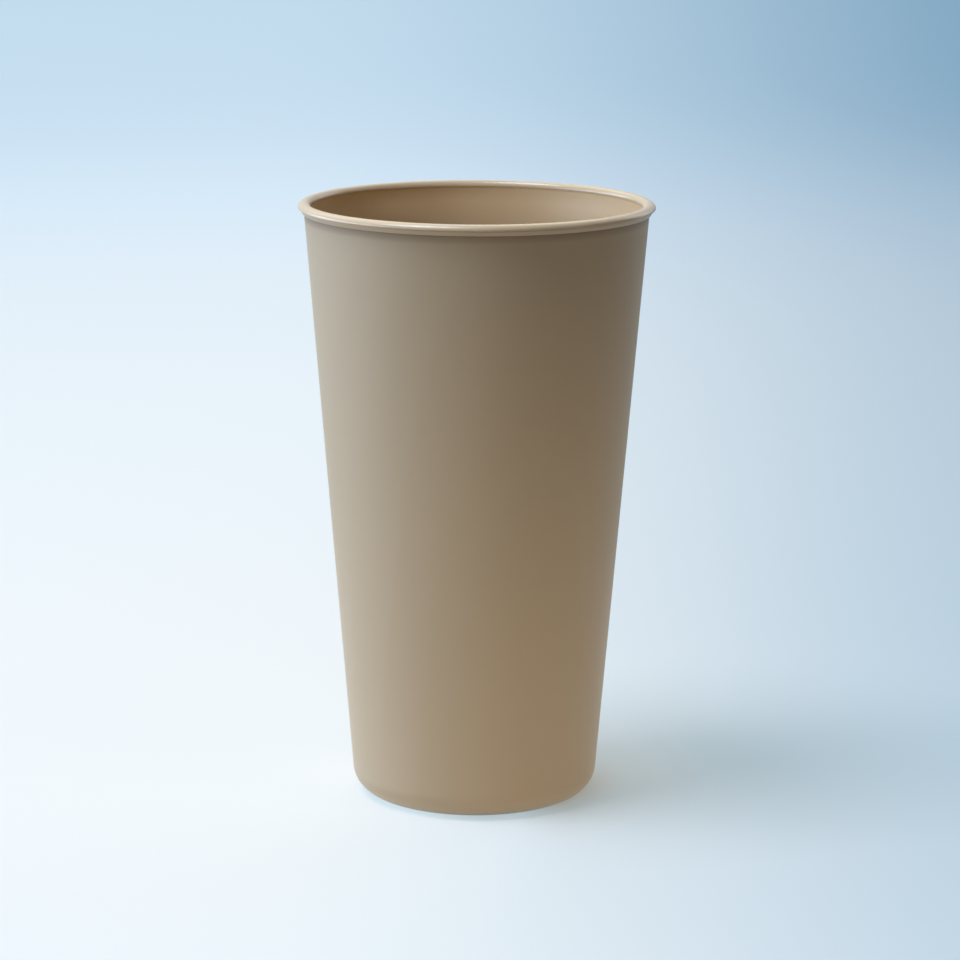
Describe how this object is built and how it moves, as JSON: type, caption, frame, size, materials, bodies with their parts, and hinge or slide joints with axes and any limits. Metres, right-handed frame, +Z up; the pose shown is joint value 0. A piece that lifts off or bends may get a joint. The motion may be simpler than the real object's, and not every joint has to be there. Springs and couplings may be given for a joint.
{
  "type": "coffee cup",
  "caption": "Insulated tapered plastic coffee cup with a rounded drinking lip, a collar band under the lip, a smooth wall and a recessed base in a foot ring.",
  "frame": {"origin": "on the cup's axis, in the plane that the foot ring stands on", "axes": "+Z up along the cup's axis, from the foot to the lip; +X and +Y are alike, because the cup is round"},
  "size_m": [0.09, 0.09, 0.153],
  "materials": {
    "liner_plastic": "tan polypropylene, moulded, satin",
    "shell_plastic": "tan polypropylene, moulded, fine matte",
    "cap_plastic": "tan polypropylene, moulded, matte"
  },
  "bodies": {
    "root": {"inner_liner": "liner_plastic", "outer_shell": "shell_plastic", "base_cap": "cap_plastic"}
  },
  "joints": []
}
